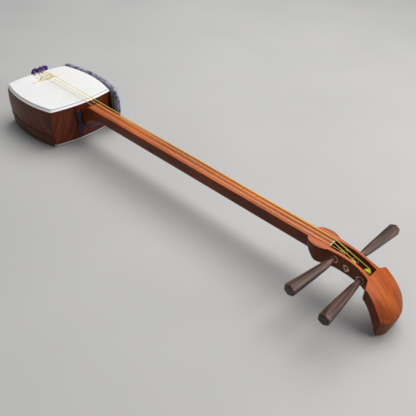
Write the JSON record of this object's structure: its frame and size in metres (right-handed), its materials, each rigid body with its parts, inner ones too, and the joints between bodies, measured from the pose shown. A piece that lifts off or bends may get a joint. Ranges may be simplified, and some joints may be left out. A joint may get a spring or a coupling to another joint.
{
  "type": "shamisen",
  "caption": "Long-necked plucked lute with a square skin-covered body, take-apart neck, curved pegbox, turning side pegs, sliding bridge and cloth arm cover.",
  "frame": {"origin": "centre of the body on the plane of the back skin, where the instrument rests", "axes": "+X along the neck towards the head, +Z out of the front skin, +Y towards the thickest string and the arm cover"},
  "size_m": [0.9536, 0.2225, 0.1013],
  "materials": {
    "body_wood": "oiled red-brown hardwood with streaky figure",
    "drum_skin": "taut matt white skin",
    "patch_skin": "thin matt skin patch",
    "grip_sheet": "matt brown grip sheet",
    "neck_wood": "polished orange-brown hardwood, straight grain",
    "nut_metal": "satin silver strip",
    "bushing_brass": "pale polished brass",
    "peg_wood": "polished dark rosewood",
    "string_silk": "twisted waxed yellow silk",
    "bamboo": "pale bamboo with brown flecks",
    "purple_cord": "braided purple silk",
    "cover_board": "stiff pasteboard core",
    "brocade": "lavender and slate-blue brocade",
    "navy_lining": "navy lining cloth",
    "navy_cord": "braided navy cord"
  },
  "bodies": {
    "instrument": {"body_panel_neck": "body_wood", "body_panel_tail": "body_wood", "body_panel_left": "body_wood", "body_panel_right": "body_wood", "front_skin": "drum_skin", "back_skin": "drum_skin", "plectrum_patch": "patch_skin", "knee_strip": "grip_sheet", "lower_neck": "neck_wood", "middle_neck": "neck_wood", "upper_neck_head": "neck_wood", "nut": "nut_metal", "bushing_1_handle": "bushing_brass", "bushing_1_tip": "bushing_brass", "bushing_2_handle": "bushing_brass", "bushing_2_tip": "bushing_brass", "bushing_3_handle": "bushing_brass", "bushing_3_tip": "bushing_brass", "string_1": "string_silk", "string_2": "string_silk", "string_3": "string_silk", "tail_cord": "purple_cord", "arm_cover_board": "cover_board", "arm_cover_cloth": "brocade", "arm_cover_lining": "navy_lining", "arm_cord_neck": "navy_cord", "arm_cord_tail": "navy_cord"},
    "peg_1": {"peg_1": "peg_wood", "winding_1": "string_silk"},
    "peg_2": {"peg_2": "peg_wood", "winding_2": "string_silk"},
    "peg_3": {"peg_3": "peg_wood", "winding_3": "string_silk"},
    "bridge": {"bridge": "bamboo"}
  },
  "joints": [
    {"name": "peg_1_turn", "type": "hinge", "parent": "instrument", "child": "peg_1", "pos_m": [0.779, 0, 0.068], "axis": [0, -0.9986, -0.0523], "continuous": true},
    {"name": "peg_2_turn", "type": "hinge", "parent": "instrument", "child": "peg_2", "pos_m": [0.755, 0, 0.0735], "axis": [0.1077, 0.9917, 0.0698], "continuous": true},
    {"name": "peg_3_turn", "type": "hinge", "parent": "instrument", "child": "peg_3", "pos_m": [0.736, 0, 0.079], "axis": [-0.1476, -0.9877, -0.0523], "continuous": true},
    {"name": "bridge_slide", "type": "slide", "parent": "instrument", "child": "bridge", "axis": [1, 0, 0], "range_m": [0, 0.01]}
  ]
}
